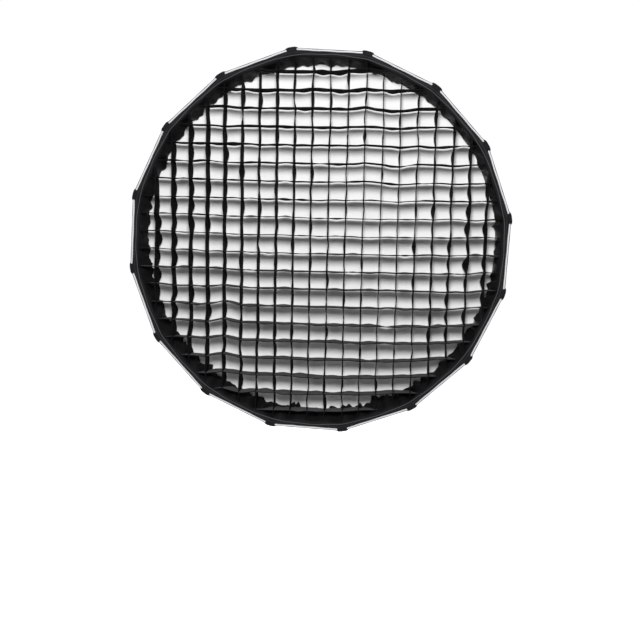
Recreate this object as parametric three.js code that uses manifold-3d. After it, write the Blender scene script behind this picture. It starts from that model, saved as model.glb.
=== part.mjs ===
// A sixteen-rib folding octabox: a softbox with a front diffuser and an egg-crate grid.
//
// Millimetres, +Z up. The box's axis is Y and its mouth faces -Y. Places along the axis are given
// as a depth forward from the mount plane, so a point at depth d has y = -d. An azimuth is measured
// from +Z towards +X, and a rib's own plane holds the radius along X and the depth along -Y.

import * as THREE from 'three';
import { mergeVertices } from 'three/addons/utils/BufferGeometryUtils.js';
import Module from 'manifold-3d';

const wasm = await Module();
wasm.setup();

// Layout
const RIBS = 16;
const STEP = (2 * Math.PI) / RIBS;
const HALF_STEP = STEP / 2;
const GAP = 0.3; // between pieces that touch
const ROUND = 48; // sides of a turned ring
const OVERCUT = 1; // how far a cutting solid runs past what it cuts
const SAME_POINT = 1e-4; // corners nearer than this are one corner

// Ribs: parabolic rods from the hinge wire to the rim, and their angles from the box's axis
const HINGE_RADIUS = 88;
const HINGE_DEPTH = 56;
const TIP_RADIUS = 441.5;
const TIP_DEPTH = 505;
const RIB_START_ANGLE = THREE.MathUtils.degToRad(56);
const RIB_END_ANGLE = THREE.MathUtils.degToRad(20);
const RIB_WIRE = 2.5; // radius of the rod
const RIB_STEPS = 11;
const RIB_SIDES = 6;
const KNUCKLE_RADIUS = 3.9;
const KNUCKLE_WIDTH = 8;
const KNUCKLE_SIDES = 10;
const EYE_RADIUS = 1.8;
const EYE_SIDES = 8;

// Fabric shell
const SKIN_OFFSET = 3.3; // from a rod's centreline to the inside of the skin
const SKIN = 1.5; // thickness of the two-layer fabric
const SHELL_START = 0.05; // share of the rib's length where the gores begin
const SHELL_STEPS = 9;
const RIM_DEPTH = 518;
const COLLAR_START = 0.015;
const COLLAR_END = 0.13;
const COLLAR_STEPS = 3;
const COLLAR_OFFSET = SKIN_OFFSET + SKIN + 0.7;
const COLLAR = 1.2;

// Tip pockets
const POCKET_RADII = [437.5, 452.5];
const POCKET_DEPTHS = [484, 520.5];
const POCKET_HALF_WIDTH = 15;
const POCKET_CORNER = 7;
const POCKET_BORE = 3.4;
const POCKET_BORE_LENGTH = 40;
const POCKET_BORE_SIDES = 8;

// Front diffuser and grid
const DIFFUSER_RADIUS = 417;
const DIFFUSER_DEPTHS = [465, 467];
const GRID_DEPTHS = [475, 515];
const BORDER_DEPTHS = [473, 518];
const BORDER_BACK_RADIUS = 425;
const BORDER_FRONT_RADIUS = 436.5;
const BORDER = 3;
const GRID_PITCH = 82.6; // every second strip of the fabric grid
const GRID_STRIPS = 10;
const GRID_STRIP = 1.6;

// Speedring: the adapter that locks into the lamp, and the ring that turns on it
const BORE_RADIUS = 48;
const JOURNAL_RADIUS = 60;
const JOURNAL_END = 57;
const PLATE_RADIUS = 80;
const PLATE = 6;
const SPIGOT_RADII = [62, 67];
const SPIGOT_DEPTH = -9;
const LUGS = 3;
const LUG_RADIUS = 72;
const LUG_WIDTH = 22;
const LUG = 4;
const RING_RADIUS = 80;
const RING_DEPTHS = [PLATE + GAP, 52];
const RETAINER_RADIUS = 68;
const FLANGE_RADII = [84, 96];
const FLANGE_DEPTHS = [50, 62];
const SLOT_WIDTH = 9;
const WIRE_RADIUS = 1.25;
const WIRE_SIDES = 6;
const LOCK_RING_RADIUS = 92;
const LOCK_RING_DEPTHS = [36, 46];

// Thumb knob that clamps the turning ring, under the box
const KNOB_DEPTH = 15.5;
const KNOB_STEM = 3;
const KNOB_STEM_RADII = [JOURNAL_RADIUS + GAP, 87];
const KNOB_HEAD = 8.5;
const KNOB_HEAD_RADII = [86, 104];
const KNOB_FLUTE = 1; // depth of the head's flutes
const KNOB_SIDES = 12;
const KNOB_HOLE_LENGTH = 30;

// Finishes
const nylon = new THREE.MeshStandardMaterial({ color: 0x1b1b1c, roughness: 0.75, metalness: 0 });
const meshFabric = new THREE.MeshStandardMaterial({ color: 0x161616, roughness: 0.9, metalness: 0 });
const diffusion = new THREE.MeshStandardMaterial({ color: 0xececec, roughness: 0.9, metalness: 0 });
const anodised = new THREE.MeshStandardMaterial({ color: 0x202123, roughness: 0.4, metalness: 0.8 });
const steel = new THREE.MeshStandardMaterial({ color: 0x9a9ca0, roughness: 0.3, metalness: 1 });
const plastic = new THREE.MeshStandardMaterial({ color: 0x111112, roughness: 0.5, metalness: 0 });

// A closed geometry as a solid that can be joined and cut
function solidOf(geometry) {
  const bare = geometry.index ? geometry.toNonIndexed() : geometry.clone();
  bare.deleteAttribute('normal');
  bare.deleteAttribute('uv');
  const merged = mergeVertices(bare, SAME_POINT);
  const mesh = new wasm.Mesh({
    numProp: 3,
    vertProperties: merged.attributes.position.array,
    triVerts: Uint32Array.from(merged.index.array),
  });
  return new wasm.Manifold(mesh);
}

function geometryOf(solid) {
  const mesh = solid.getMesh();
  const geometry = new THREE.BufferGeometry();
  geometry.setAttribute('position', new THREE.BufferAttribute(mesh.vertProperties, 3));
  geometry.setIndex(new THREE.BufferAttribute(mesh.triVerts, 1));
  geometry.computeVertexNormals();
  return geometry;
}

// Azimuth of rib number n, counted from 0. Two ribs stand either side of the top.
const ribAzimuth = (n) => HALF_STEP + n * STEP;

// Turns a shape from a rib's own plane to an azimuth
const turnTo = (azimuth) => azimuth - Math.PI / 2;

// A ring turned about Y from a closed profile of [radius, depth] corners
function turned(profile, sides = ROUND, start = 0) {
  const corners = profile.map(([radius, depth]) => new THREE.Vector2(radius, -depth));
  if (THREE.ShapeUtils.area(corners) < 0) corners.reverse();
  corners.push(corners[0].clone());
  return new THREE.LatheGeometry(corners, sides, start, 2 * Math.PI);
}

// A rectangle between two radii and two depths
const section = ([inner, outer], [back, front]) => [
  [inner, back],
  [outer, back],
  [outer, front],
  [inner, front],
];

// A shape drawn in the front view, X and Z, made solid between two depths
function prism(shape, [back, front]) {
  const options = { depth: front - back, bevelEnabled: false, curveSegments: 3 };
  const geometry = new THREE.ExtrudeGeometry(shape, options);
  geometry.translate(0, 0, back);
  geometry.rotateX(Math.PI / 2);
  return geometry;
}

// A regular polygon with its corners at the ribs
function polygon(radius) {
  const corners = Array.from({ length: RIBS }, (_, n) => {
    const azimuth = ribAzimuth(n);
    return new THREE.Vector2(radius * Math.sin(azimuth), radius * Math.cos(azimuth));
  });
  return new THREE.Shape(corners);
}

function rectangle(x0, x1, y0, y1) {
  const shape = new THREE.Shape();
  shape.moveTo(x0, y0);
  shape.lineTo(x1, y0);
  shape.lineTo(x1, y1);
  shape.lineTo(x0, y1);
  shape.closePath();
  return shape;
}

function circle(radius, sides) {
  const corners = Array.from({ length: sides }, (_, n) => {
    const angle = (n * 2 * Math.PI) / sides;
    return new THREE.Vector2(radius * Math.cos(angle), radius * Math.sin(angle));
  });
  return new THREE.Shape(corners);
}

// A round bar along a curve
function bar(path, radius, sides, steps) {
  const options = { steps, bevelEnabled: false, extrudePath: path };
  return new THREE.ExtrudeGeometry(circle(radius, sides), options);
}

// The centreline of a rib, a parabola in the rib's own plane
function ribCurve() {
  const hinge = new THREE.Vector2(HINGE_RADIUS, HINGE_DEPTH);
  const tip = new THREE.Vector2(TIP_RADIUS, TIP_DEPTH);
  const leave = new THREE.Vector2(Math.sin(RIB_START_ANGLE), Math.cos(RIB_START_ANGLE));
  const arrive = new THREE.Vector2(Math.sin(RIB_END_ANGLE), Math.cos(RIB_END_ANGLE));
  const span = tip.clone().sub(hinge);
  const reach = span.cross(arrive) / leave.cross(arrive);
  const bend = hinge.clone().addScaledVector(leave, reach);
  const inPlane = (p) => new THREE.Vector3(p.x, -p.y, 0);
  return new THREE.QuadraticBezierCurve3(inPlane(hinge), inPlane(bend), inPlane(tip));
}

const RIB_CURVE = ribCurve();

// [radius, depth] at a share of the rib's curve, moved outwards from it
function besideRib(share, offset) {
  const point = RIB_CURVE.getPoint(share);
  const tangent = RIB_CURVE.getTangent(share);
  return [point.x - offset * tangent.y, -point.y - offset * tangent.x];
}

// Where the skin's surface at that offset meets the rim
function rimPoint(offset) {
  const [radius, depth] = besideRib(1, offset);
  return [radius + (RIM_DEPTH - depth) * Math.tan(RIB_END_ANGLE), RIM_DEPTH];
}

// Points beside the rib from one share of its curve to another
function alongRib(from, to, steps, offset) {
  return Array.from({ length: steps + 1 }, (_, n) => {
    const share = from + ((to - from) * n) / steps;
    return besideRib(share, offset);
  });
}

// A round solid across a rib's plane, with its axis on the hinge wire
function acrossHinge(radius, width, sides) {
  const geometry = new THREE.CylinderGeometry(radius, radius, width, sides);
  geometry.rotateX(Math.PI / 2);
  geometry.translate(HINGE_RADIUS, -HINGE_DEPTH, 0);
  return solidOf(geometry);
}

function ribRod() {
  const rod = solidOf(bar(RIB_CURVE, RIB_WIRE, RIB_SIDES, RIB_STEPS));
  const knuckle = acrossHinge(KNUCKLE_RADIUS, KNUCKLE_WIDTH, KNUCKLE_SIDES);
  const eye = acrossHinge(EYE_RADIUS, KNUCKLE_WIDTH + 2 * OVERCUT, EYE_SIDES);
  return geometryOf(rod.add(knuckle).subtract(eye));
}

// The space a tip pocket takes in its rib's plane, grown by a clearance
function pocketBlock(clearance) {
  const [inner, outer] = [POCKET_RADII[0] - clearance, POCKET_RADII[1] + clearance];
  const half = POCKET_HALF_WIDTH + clearance;
  const shape = new THREE.Shape();
  shape.moveTo(inner, -half);
  shape.lineTo(outer - POCKET_CORNER, -half);
  shape.absarc(outer - POCKET_CORNER, -half + POCKET_CORNER, POCKET_CORNER, -Math.PI / 2, 0);
  shape.absarc(outer - POCKET_CORNER, half - POCKET_CORNER, POCKET_CORNER, 0, Math.PI / 2);
  shape.lineTo(inner, half);
  shape.closePath();
  return prism(shape, [POCKET_DEPTHS[0] - clearance, POCKET_DEPTHS[1] + clearance]);
}

// A tip pocket with the blind bore that the rod's end sits in
function tipPocket() {
  const tip = RIB_CURVE.getPoint(1);
  const heading = RIB_CURVE.getTangent(1);
  const start = tip.clone().addScaledVector(heading, -POCKET_BORE_LENGTH);
  const end = tip.clone().addScaledVector(heading, GAP);
  const bore = bar(new THREE.LineCurve3(start, end), POCKET_BORE, POCKET_BORE_SIDES, 1);
  return geometryOf(solidOf(pocketBlock(0)).subtract(solidOf(bore)));
}

// One panel of the shell, centred on the X axis of its own plane
function gorePanel() {
  const inside = alongRib(SHELL_START, 1, SHELL_STEPS, SKIN_OFFSET);
  const outside = alongRib(SHELL_START, 1, SHELL_STEPS, SKIN_OFFSET + SKIN);
  const rim = [rimPoint(SKIN_OFFSET), rimPoint(SKIN_OFFSET + SKIN)];
  const shell = turned([...inside, ...rim, ...outside.reverse()], RIBS, turnTo(HALF_STEP));
  const reach = POCKET_RADII[1] + OVERCUT;
  const apex = GAP / 2 / Math.sin(HALF_STEP);
  const wedge = new THREE.Shape();
  wedge.moveTo(apex, 0);
  wedge.lineTo(apex + reach, -reach * Math.tan(HALF_STEP));
  wedge.lineTo(apex + reach, reach * Math.tan(HALF_STEP));
  wedge.closePath();
  let panel = solidOf(shell).intersect(solidOf(prism(wedge, [0, RIM_DEPTH + OVERCUT])));
  for (const side of [-1, 1]) {
    const notch = pocketBlock(GAP);
    notch.rotateY(side * HALF_STEP);
    panel = panel.subtract(solidOf(notch));
  }
  return geometryOf(panel);
}

// The fabric skirt that closes the shell round the speedring
function rearCollar() {
  const inside = alongRib(COLLAR_START, COLLAR_END, COLLAR_STEPS, COLLAR_OFFSET);
  const outside = alongRib(COLLAR_START, COLLAR_END, COLLAR_STEPS, COLLAR_OFFSET + COLLAR);
  return turned([...inside, ...outside.reverse()], RIBS, HALF_STEP);
}

// The grid: a border wall that slopes in towards the back, and crossing strips that end in it
function eggCrateGrid() {
  const [back, front] = GRID_DEPTHS;
  const [borderBack, borderFront] = BORDER_DEPTHS;
  const border = turned(
    [
      [BORDER_BACK_RADIUS - BORDER, borderBack],
      [BORDER_BACK_RADIUS, borderBack],
      [BORDER_FRONT_RADIUS, borderFront],
      [BORDER_FRONT_RADIUS - BORDER, borderFront],
    ],
    RIBS,
    HALF_STEP,
  );
  const reach = BORDER_FRONT_RADIUS;
  let strips = null;
  for (let n = 0; n < GRID_STRIPS; n += 1) {
    const place = (n - (GRID_STRIPS - 1) / 2) * GRID_PITCH;
    const [low, high] = [place - GRID_STRIP / 2, place + GRID_STRIP / 2];
    for (const shape of [rectangle(low, high, -reach, reach), rectangle(-reach, reach, low, high)]) {
      const strip = solidOf(prism(shape, [back, front]));
      strips = strips ? strips.add(strip) : strip;
    }
  }
  const inset = BORDER / 2;
  const room = turned(
    [
      [0, borderBack],
      [BORDER_BACK_RADIUS - inset, borderBack],
      [BORDER_FRONT_RADIUS - inset, borderFront],
      [0, borderFront],
    ],
    RIBS,
    HALF_STEP,
  );
  return geometryOf(solidOf(border).add(strips.intersect(solidOf(room))));
}

// The part that locks into the lamp: plate, journal and a spigot with bayonet lugs
function bayonetAdapter() {
  const body = turned([
    [BORE_RADIUS, 0],
    [SPIGOT_RADII[0], 0],
    [SPIGOT_RADII[0], SPIGOT_DEPTH],
    [SPIGOT_RADII[1], SPIGOT_DEPTH],
    [SPIGOT_RADII[1], 0],
    [PLATE_RADIUS, 0],
    [PLATE_RADIUS, PLATE],
    [JOURNAL_RADIUS, PLATE],
    [JOURNAL_RADIUS, JOURNAL_END],
    [BORE_RADIUS, JOURNAL_END],
  ]);
  let solid = solidOf(body);
  const middle = (SPIGOT_RADII[0] + SPIGOT_RADII[1]) / 2;
  for (let n = 0; n < LUGS; n += 1) {
    const shape = rectangle(middle, LUG_RADIUS, -LUG_WIDTH / 2, LUG_WIDTH / 2);
    const lug = prism(shape, [SPIGOT_DEPTH, SPIGOT_DEPTH + LUG]);
    lug.rotateY((n * 2 * Math.PI) / LUGS + Math.PI / 2);
    solid = solid.add(solidOf(lug));
  }
  return geometryOf(solid);
}

// A ring round the hinge circle with straight runs at the ribs, of any closed cross-section
function hingeCircle(outline) {
  const stretch = 1 / Math.cos(HALF_STEP);
  const profile = outline.getPoints().map((p) => [
    (HINGE_RADIUS + p.x) * stretch,
    HINGE_DEPTH + p.y,
  ]);
  return turned(profile, RIBS, 0);
}

// The turning ring, with a slot for each rib's knuckle and a channel for the hinge wire
function speedring() {
  const body = turned([
    [JOURNAL_RADIUS + GAP, RING_DEPTHS[0]],
    [RING_RADIUS, RING_DEPTHS[0]],
    [RING_RADIUS, FLANGE_DEPTHS[0]],
    [FLANGE_RADII[1], FLANGE_DEPTHS[0]],
    [FLANGE_RADII[1], FLANGE_DEPTHS[1]],
    [FLANGE_RADII[0], FLANGE_DEPTHS[1]],
    [FLANGE_RADII[0], RING_DEPTHS[1]],
    [JOURNAL_RADIUS + GAP, RING_DEPTHS[1]],
  ]);
  let solid = solidOf(body);
  const channel = WIRE_RADIUS + 2 * GAP;
  solid = solid.subtract(solidOf(hingeCircle(rectangle(-channel, channel, -channel, channel))));
  const [inner, outer] = [FLANGE_RADII[0] - OVERCUT, FLANGE_RADII[1] + OVERCUT];
  for (let n = 0; n < RIBS; n += 1) {
    const shape = rectangle(inner, outer, -SLOT_WIDTH / 2, SLOT_WIDTH / 2);
    const slot = prism(shape, [RING_DEPTHS[1], FLANGE_DEPTHS[1] + OVERCUT]);
    slot.rotateY(turnTo(ribAzimuth(n)));
    solid = solid.subtract(solidOf(slot));
  }
  const clear = KNOB_STEM + GAP;
  const hole = new THREE.CylinderGeometry(clear, clear, KNOB_HOLE_LENGTH, KNOB_SIDES);
  hole.rotateX(Math.PI / 2);
  hole.translate(0, -KNOB_DEPTH, -(JOURNAL_RADIUS + RING_RADIUS) / 2);
  return geometryOf(solid.subtract(solidOf(hole)));
}

// The clamp screw with its fluted head, pointing down from the axis
function lockKnob() {
  const grip = new THREE.Shape();
  for (let n = 0; n < 2 * KNOB_SIDES; n += 1) {
    const angle = (n * Math.PI) / KNOB_SIDES;
    const radius = n % 2 ? KNOB_HEAD - KNOB_FLUTE : KNOB_HEAD;
    const [x, y] = [radius * Math.cos(angle), radius * Math.sin(angle)];
    if (n) grip.lineTo(x, y);
    else grip.moveTo(x, y);
  }
  grip.closePath();
  const length = KNOB_HEAD_RADII[1] - KNOB_HEAD_RADII[0];
  const head = new THREE.ExtrudeGeometry(grip, { depth: length, bevelEnabled: false });
  head.translate(0, 0, -KNOB_HEAD_RADII[1]);
  const [inner, outer] = KNOB_STEM_RADII;
  const stem = new THREE.CylinderGeometry(KNOB_STEM, KNOB_STEM, outer - inner, KNOB_SIDES);
  stem.rotateX(Math.PI / 2);
  stem.translate(0, 0, -(inner + outer) / 2);
  const knob = geometryOf(solidOf(head).add(solidOf(stem)));
  knob.translate(0, -KNOB_DEPTH, 0);
  return knob;
}

const octabox = new THREE.Group();

function place(name, geometry, material, azimuth = null) {
  const mesh = new THREE.Mesh(geometry, material);
  mesh.name = name;
  if (azimuth !== null) mesh.rotation.y = turnTo(azimuth);
  octabox.add(mesh);
}

const numbered = (word, n) => `${word}_${String(n + 1).padStart(2, '0')}`;

place('bayonet_adapter', bayonetAdapter(), anodised);
const retainerDepths = [RING_DEPTHS[1] + GAP, JOURNAL_END];
place('retaining_ring', turned(section([JOURNAL_RADIUS + GAP, RETAINER_RADIUS], retainerDepths)), steel);
place('speedring', speedring(), anodised);
place('hinge_wire', hingeCircle(circle(WIRE_RADIUS, WIRE_SIDES)), steel);
place('lock_ring', turned(section([RING_RADIUS + GAP, LOCK_RING_RADIUS], LOCK_RING_DEPTHS)), anodised);
place('lock_knob', lockKnob(), plastic);

const rod = ribRod();
const pocket = tipPocket();
const gore = gorePanel();
for (let n = 0; n < RIBS; n += 1) {
  place(numbered('rib', n), rod, steel, ribAzimuth(n));
  place(numbered('tip_pocket', n), pocket, nylon, ribAzimuth(n));
  place(numbered('gore', n), gore, nylon, ribAzimuth(n) + HALF_STEP);
}

place('rear_collar', rearCollar(), nylon);
place('front_diffuser', prism(polygon(DIFFUSER_RADIUS), DIFFUSER_DEPTHS), diffusion);
place('grid', eggCrateGrid(), meshFabric);

export default octabox;
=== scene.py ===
"""A sixteen-rib folding octabox on its speedring, in a plain white studio.

Metres, +Z up. The box's axis is Y and its mouth faces -Y. A place along the axis is given as a
depth forward from the mount plane, so a point at depth d has y = -d. An azimuth is measured from
+Z towards +X. A rib's own frame holds the radius, the depth and a side step towards more azimuth.
"""

import itertools
import math

import bpy
import numpy as np
from mathutils import Matrix, Vector


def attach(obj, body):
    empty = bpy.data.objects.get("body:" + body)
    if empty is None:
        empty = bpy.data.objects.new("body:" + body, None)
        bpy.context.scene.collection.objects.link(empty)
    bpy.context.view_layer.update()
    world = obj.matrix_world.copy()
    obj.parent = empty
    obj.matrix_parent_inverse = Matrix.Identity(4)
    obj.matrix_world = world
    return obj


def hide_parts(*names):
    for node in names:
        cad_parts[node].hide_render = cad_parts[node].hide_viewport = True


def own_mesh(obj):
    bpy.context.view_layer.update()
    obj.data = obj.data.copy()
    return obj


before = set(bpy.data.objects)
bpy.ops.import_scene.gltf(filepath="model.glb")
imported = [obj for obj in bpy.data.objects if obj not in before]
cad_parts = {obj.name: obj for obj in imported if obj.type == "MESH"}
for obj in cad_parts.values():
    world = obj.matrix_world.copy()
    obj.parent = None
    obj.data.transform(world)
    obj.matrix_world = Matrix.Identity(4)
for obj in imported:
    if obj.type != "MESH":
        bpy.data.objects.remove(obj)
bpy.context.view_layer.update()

# ---------------------------------------------------------------- driving dimensions

RIBS = 16
STEP = 2 * math.pi / RIBS
HALF_STEP = STEP / 2
MM = 0.001

HINGE = np.array([88, 56]) * MM         # radius and depth of the hinge wire
TIP = np.array([441.5, 505]) * MM       # radius and depth of a rib's tip
START_ANGLE = math.radians(56)          # the rib's angles from the axis at its two ends
END_ANGLE = math.radians(20)
ROD = 2.5 * MM                          # a rod's radius
SKIN_OFFSET = 4.1 * MM                  # from a rod's centreline to the middle of the skin
SKIN = 1.2 * MM
RIM_DEPTH = 518 * MM
SHELL_START = 0.05                      # share of the rib's curve where the gores begin

RIM_RADIUS = 449.5 * MM                 # corner radii in the front view, from the outside in
HEM_INNER = 445.2 * MM
BORDER_LINE = 435 * MM
WALL_FRONT = 432.5 * MM
WALL_BACK = 412.5 * MM                  # mean radius of the wall's ragged back edge
WALL_DEPTHS = (516.5 * MM, 473.5 * MM)
DIFFUSER_RADII = (415 * MM, 419 * MM)   # between the ribs, and at them
DIFFUSER_DEPTH = 466 * MM

GRID_COUNT = 20
GRID_PITCH = (40.85 * MM, 41.9 * MM)    # across, and up
GRID_DEPTHS = (516 * MM, 478 * MM)      # front and back edges of the strips
GRID_STRIP = 1.8 * MM                   # the thickness of a strip, with its seams
GRID_CENTRE = (1.8 * MM, 1.3 * MM)      # how the grid hangs: off centre, turned and sagging
GRID_TWIST = math.radians(2.5)
GRID_SAG = 4 * MM
GRID_DROOP = 0.8 * MM                   # how far the strips' back edges hang below their front edges

# Pulls on the grid. Each: the tugged column, how far its crossings are pulled up, and in which half.
TUGS = ((-5.5, 8 * MM, -1), (4.5, -4 * MM, 1), (2.5, 3.5 * MM, 1))
TUG_ROWS = (40 * MM, 160 * MM)          # how far from the middle a tug begins, and where it is full
LIFTED_CORNER = 9 * MM                  # how far the lower right of the grid is held up

# The border's creases. Each: its height, how many go round, where they start and their slant.
CREASES = ((0.9, 37, 0.3, 3.3), (0.8, 53, 1.7, -3.9), (0.7, 71, 2.9, 2.1), (0.6, 97, 0.9, -2.4),
           (0.5, 131, 4.1, 4.8))
CREASE = 1.8 * MM                       # the depth of a crease of height 1, at the back edge
FLAPS = 90                              # folds that poke out of the border's back edge

GORE_ROWS, GORE_COLUMNS = 110, 27
GORE_SAG = 5.0 * MM                     # how far a gore's middle hangs in towards the axis
GORE_FOLDS = 1.3 * MM
HUB_PULL = 1.2 * MM                     # folds that fan out of the speedring
POCKET_PULL = 1.6 * MM                  # folds that fan out of the tip pockets
PUCKER = 0.8 * MM                       # the gathers along a seam, and how many there are
PUCKERS = 27

POCKET_CENTRE = (445.2 * MM, 502.3 * MM)        # radius and depth
POCKET_SIZE = np.array([8.0, 18.2, 15.8]) * MM  # half sizes along the radius, depth and side
HEM_GAP = 12.5 * MM                             # from a corner of the rim to the hem's end

KNOB_Y = -15.5 * MM
SLOT_HALF_ANGLE = 4.5 / 90              # of each slot in the speedring, in radians

# ---------------------------------------------------------------- camera, lights and stage


def camera():
    """The photo's camera: a little to the right of the axis, looking down and slightly tilted."""
    data = bpy.data.cameras.new("camera")
    data.sensor_width = 36
    data.lens = 50.6
    eye = bpy.data.objects.new("camera", data)
    bpy.context.scene.collection.objects.link(eye)
    # The place and the turns are matched to the photo's outline.
    place = Vector((0.1464, -2.618, 0.0975))
    yaw, pitch, roll = (math.radians(a) for a in (-3.52, -7.46, 3.65))
    forward = Vector((math.sin(yaw) * math.cos(pitch), math.cos(yaw) * math.cos(pitch), math.sin(pitch)))
    right = forward.cross(Vector((0, 0, 1))).normalized()
    up = right.cross(forward)
    tilted_right = math.cos(roll) * right + math.sin(roll) * up
    tilted_up = tilted_right.cross(forward)
    axes = Matrix((tilted_right, tilted_up, -forward)).transposed()
    eye.matrix_world = Matrix.Translation(place) @ axes.to_4x4()
    bpy.context.scene.camera = eye


def area_light(name, place, target, width, height, power):
    """An oval light at a place, turned to a target."""
    data = bpy.data.lights.new(name, "AREA")
    data.shape = "ELLIPSE"
    data.size = width
    data.size_y = height
    data.energy = power
    lamp = bpy.data.objects.new(name, data)
    bpy.context.scene.collection.objects.link(lamp)
    lamp.location = place
    lamp.rotation_euler = (Vector(target) - Vector(place)).to_track_quat("-Z", "Y").to_euler()


def studio():
    """A white room, a key light above the camera and a rim light behind the box."""
    scene = bpy.context.scene
    scene.view_settings.view_transform = "Standard"
    world = bpy.data.worlds.new("studio")
    world.use_nodes = True
    back = world.node_tree.nodes["Background"]
    back.inputs["Color"].default_value = (1, 1, 1, 1)
    back.inputs["Strength"].default_value = 1.02
    scene.world = world
    area_light("key", (0.05, -2.3, 0.8), (0, -0.5, 0), 0.44, 0.7, 65)
    area_light("rim", (-2.6, 2.8, 2.4), (0, -0.2, 0), 1.4, 1.4, 150)


# ---------------------------------------------------------------- mesh building


def rib_point(radius, depth, side, azimuth):
    """Points from a rib's own frame to the row frame. The arguments broadcast."""
    radius, depth, side = np.broadcast_arrays(radius, depth, side)
    s, c = math.sin(azimuth), math.cos(azimuth)
    return np.stack([radius * s + side * c, -depth, radius * c - side * s], -1)


def add_piece(name, points, faces, materials, tags=None, uvs=None, sharp=None):
    """A mesh object. tags gives each face's material, and uvs each vertex's place on the cloth."""
    mesh = bpy.data.meshes.new(name)
    mesh.from_pydata(np.asarray(points, float).reshape(-1, 3).tolist(), [], [list(f) for f in faces])
    for finish in materials:
        mesh.materials.append(finish)
    if tags is not None:
        mesh.polygons.foreach_set("material_index", np.asarray(tags, np.int32))
    if uvs is not None:
        layer = mesh.uv_layers.new(name="cloth")
        corner = np.empty(len(mesh.loops), np.int32)
        mesh.loops.foreach_get("vertex_index", corner)
        layer.data.foreach_set("uv", np.asarray(uvs, np.float32)[corner].ravel())
    mesh.polygons.foreach_set("use_smooth", np.ones(len(mesh.polygons), bool))
    if sharp is not None:
        mesh.set_sharp_from_angle(angle=math.radians(sharp))
    mesh.validate()
    mesh.update()
    piece = bpy.data.objects.new(name, mesh)
    bpy.context.scene.collection.objects.link(piece)
    return piece


def grid_faces(rows, columns, start=0, wrap=False, flip=False):
    """Quads over a rows x columns sheet of points. wrap joins the last column to the first."""
    last = columns if wrap else columns - 1
    r, c = np.meshgrid(np.arange(rows - 1), np.arange(last), indexing="ij")
    n = (c + 1) % columns
    quads = np.stack([r * columns + c, r * columns + n, (r + 1) * columns + n, (r + 1) * columns + c], -1)
    quads = quads.reshape(-1, 4) + start
    return quads[:, ::-1] if flip else quads


def sheet_normals(points, wrap=False):
    """Unit normals of a rows x columns sheet, towards row x column."""
    along = np.gradient(points, axis=0)
    if wrap:
        across = (np.roll(points, -1, 1) - np.roll(points, 1, 1)) / 2
    else:
        across = np.gradient(points, axis=1)
    normal = np.cross(along, across)
    return normal / np.maximum(np.linalg.norm(normal, axis=-1, keepdims=True), 1e-12)


def cloth_uv(points):
    """Distances along and across a sheet, in metres."""
    along = np.linalg.norm(np.diff(points, axis=0), axis=-1)
    across = np.linalg.norm(np.diff(points, axis=1), axis=-1)
    v = np.concatenate([np.zeros((1, points.shape[1])), along.cumsum(0)])
    u = np.concatenate([np.zeros((points.shape[0], 1)), across.cumsum(1)], 1)
    return np.stack([u, v], -1)


def run_length(line):
    """The length of a line of points."""
    return float(np.linalg.norm(np.diff(line, axis=0), axis=1).sum())


def shell(points, thickness, wrap=False):
    """(points, faces, uvs, tags) of a closed thin shell round a sheet of mid-surface points.
    Tag 0 is the side that the normals point to, and tag 1 the other side."""
    rows, columns = points.shape[:2]
    normal = sheet_normals(points, wrap)
    both = np.concatenate([points + normal * thickness / 2, points - normal * thickness / 2])
    size = rows * columns
    front = grid_faces(rows, columns, 0, wrap, flip=True)
    back = grid_faces(rows, columns, size, wrap)
    edges = [np.arange(columns), (rows - 1) * columns + np.arange(columns)[::-1]]
    if wrap:
        edges = [np.append(e, e[0]) for e in edges]
    else:
        edges += [np.arange(rows)[::-1] * columns, np.arange(rows) * columns + columns - 1]
    rims = [np.stack([e[:-1], e[1:], e[1:] + size, e[:-1] + size], -1) for e in edges]
    faces = np.concatenate([front, back, *rims])
    uv = cloth_uv(points).reshape(-1, 2)
    tags = np.zeros(len(faces), int)
    tags[len(front):len(front) + len(back)] = 1
    return both.reshape(-1, 3), faces, np.concatenate([uv, uv]), tags


def turned(name, profile, finish, sides=144, ridges=0):
    """A closed ring turned about Y from [radius, depth] corners in millimetres. Its outermost
    corners can be cut into that many ridges."""
    ridge_height = 0.8 * MM
    profile = np.array(profile, float) * MM
    area = np.sum(profile[:, 0] * np.roll(profile[:, 1], -1) - np.roll(profile[:, 0], -1) * profile[:, 1])
    if area > 0:
        profile = profile[::-1]
    azimuths = np.arange(sides) * 2 * math.pi / sides
    outer = profile[:, 0] > profile[:, 0].max() - 0.1 * MM
    cut = ridge_height * outer[:, None] * (np.sin(azimuths * ridges)[None, :] < -0.2)
    radii = profile[:, 0:1] - cut
    points = np.stack([rib_point(radii[:, n], profile[:, 1], 0, a) for n, a in enumerate(azimuths)], 1)
    closed = np.concatenate([points, points[:1]])
    faces = grid_faces(len(closed), sides, wrap=True) % (len(profile) * sides)
    return add_piece(name, points, faces, [finish], sharp=35)


def eased(piece, width):
    """Rounds the sharp edges of a piece."""
    bevel = piece.modifiers.new("eased", "BEVEL")
    bevel.width = width
    bevel.segments = 2
    bevel.limit_method = "ANGLE"
    bevel.angle_limit = math.radians(35)
    bevel.harden_normals = True
    return piece


def end_caps(rows, columns):
    """The two end faces of a tube of rows x columns points."""
    first = list(range(columns))
    return [first[::-1], [(rows - 1) * columns + k for k in first]]


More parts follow.
